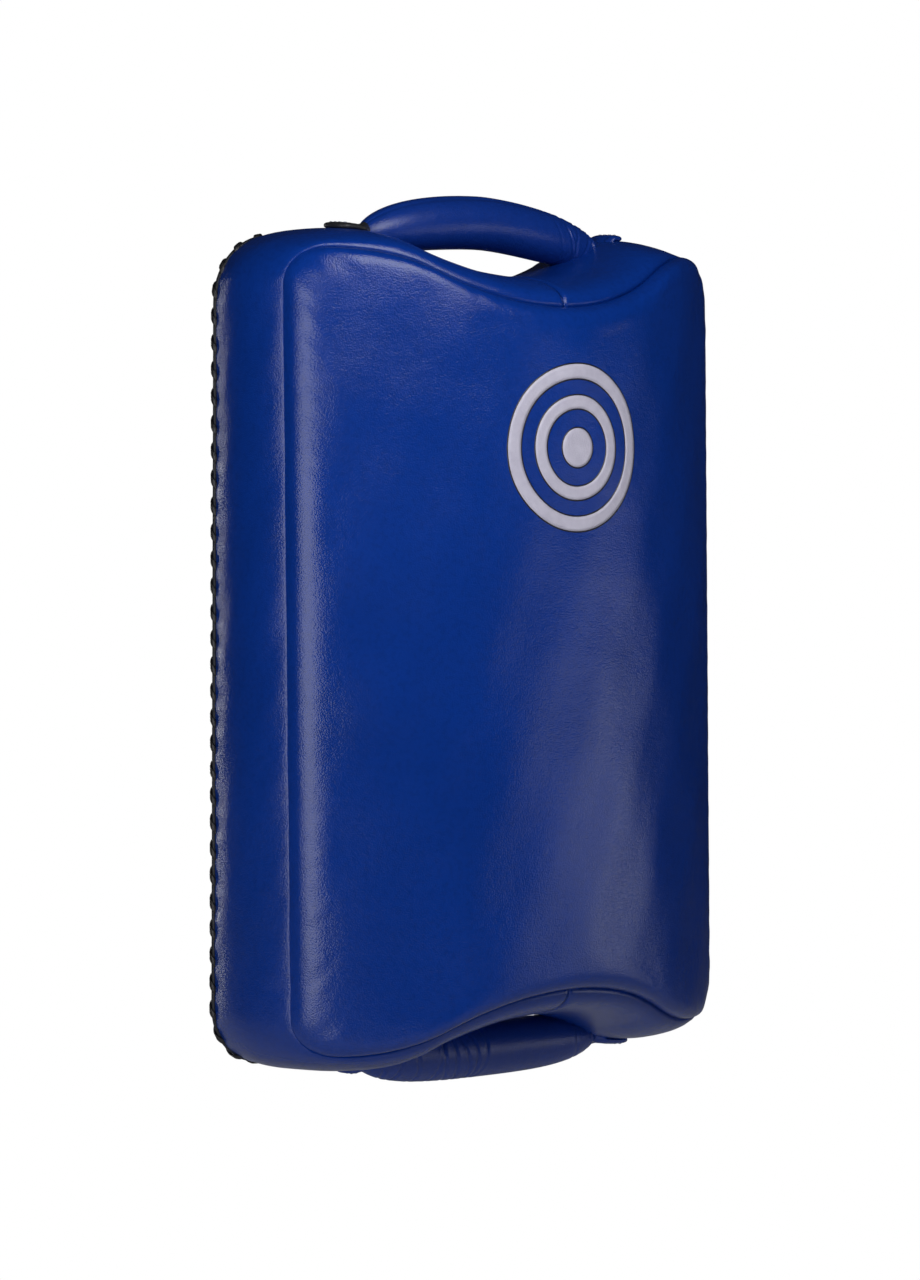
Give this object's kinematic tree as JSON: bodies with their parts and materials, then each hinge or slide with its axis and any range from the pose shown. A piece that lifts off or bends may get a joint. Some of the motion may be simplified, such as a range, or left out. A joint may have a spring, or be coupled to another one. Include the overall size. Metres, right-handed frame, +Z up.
{
  "type": "kick shield",
  "caption": "Curved leather-covered foam kick shield with a rolled handle at each end, a laced back edge and padded forearm straps behind.",
  "frame": {"origin": "centre of the flat back panel's outer face", "axes": "+X to the right of someone facing the strike face, +Y out of the back, +Z up towards the top handle"},
  "size_m": [0.4332, 0.2574, 0.706],
  "materials": {
    "face_leather": "semi-gloss coated leather, fine pebble",
    "gusset_leather": "semi-gloss coated leather, fine pebble",
    "back_leather": "matt black coated leather",
    "handle_leather": "semi-gloss coated leather, creased at the ends",
    "strap_leather": "black coated leather over webbing",
    "black_lace": "narrow black leather lace",
    "dense_foam": "closed-cell foam, cut",
    "soft_foam": "open-cell foam, cut",
    "webbing": "woven nylon webbing",
    "pad_lining": "padded knit lining",
    "loop_tape": "loop side of a hook-and-loop tape",
    "hook_tape": "hook side of a hook-and-loop tape",
    "ring_steel": "polished nickel plate",
    "mark_print": "screen print"
  },
  "bodies": {
    "shield": {"front_panel": "face_leather", "left_gusset": "gusset_leather", "right_gusset": "gusset_leather", "back_panel": "back_leather", "edge_lace": "black_lace", "strike_foam": "dense_foam", "core_foam": "soft_foam", "back_foam": "dense_foam", "handle_anchor_patches": "webbing", "target_mark": "mark_print", "top_left_tab": "handle_leather", "top_right_tab": "handle_leather", "bottom_left_tab": "handle_leather", "bottom_right_tab": "handle_leather", "upper_left_patch": "back_leather", "upper_left_foot": "strap_leather", "upper_right_patch": "back_leather", "upper_right_foot": "strap_leather", "lower_left_patch": "back_leather", "lower_left_foot": "strap_leather", "lower_right_patch": "back_leather", "lower_right_foot": "strap_leather"},
    "top_handle": {"top_handle_cover": "handle_leather", "top_handle_foam": "soft_foam", "top_handle_web": "webbing"},
    "bottom_handle": {"bottom_handle_cover": "handle_leather", "bottom_handle_foam": "soft_foam", "bottom_handle_web": "webbing"},
    "upper_strap": {"upper_strap_web": "strap_leather", "upper_strap_keeper": "strap_leather", "upper_strap_pad": "pad_lining", "upper_strap_ring": "ring_steel", "upper_loop_patch": "loop_tape"},
    "upper_strap_flap": {"upper_strap_tail": "strap_leather", "upper_hook_patch": "hook_tape"},
    "lower_strap": {"lower_strap_web": "strap_leather", "lower_strap_keeper": "strap_leather", "lower_strap_pad": "pad_lining", "lower_strap_ring": "ring_steel", "lower_loop_patch": "loop_tape"},
    "lower_strap_flap": {"lower_strap_tail": "strap_leather", "lower_hook_patch": "hook_tape"}
  },
  "joints": [
    {"name": "top_handle_rock", "type": "hinge", "parent": "shield", "child": "top_handle", "pos_m": [0, -0.06, 0.322], "axis": [1, 0, 0], "range_deg": [-25, 25], "stiffness_Nm_per_rad": 1},
    {"name": "bottom_handle_rock", "type": "hinge", "parent": "shield", "child": "bottom_handle", "pos_m": [0, -0.06, -0.322], "axis": [1, 0, 0], "range_deg": [-25, 25], "stiffness_Nm_per_rad": 1},
    {"name": "upper_strap_tilt", "type": "hinge", "parent": "shield", "child": "upper_strap", "pos_m": [0, 0.006, 0.105], "axis": [1, 0, 0], "range_deg": [-28, 28], "stiffness_Nm_per_rad": 0.5},
    {"name": "upper_flap_peel", "type": "hinge", "parent": "upper_strap", "child": "upper_strap_flap", "pos_m": [0.06807, 0.05473, 0.105], "axis": [0, 0, -1], "range_deg": [0, 115]},
    {"name": "lower_strap_tilt", "type": "hinge", "parent": "shield", "child": "lower_strap", "pos_m": [0, 0.006, -0.105], "axis": [1, 0, 0], "range_deg": [-28, 28], "stiffness_Nm_per_rad": 0.5},
    {"name": "lower_flap_peel", "type": "hinge", "parent": "lower_strap", "child": "lower_strap_flap", "pos_m": [0.06807, 0.05473, -0.105], "axis": [0, 0, -1], "range_deg": [0, 115]}
  ]
}
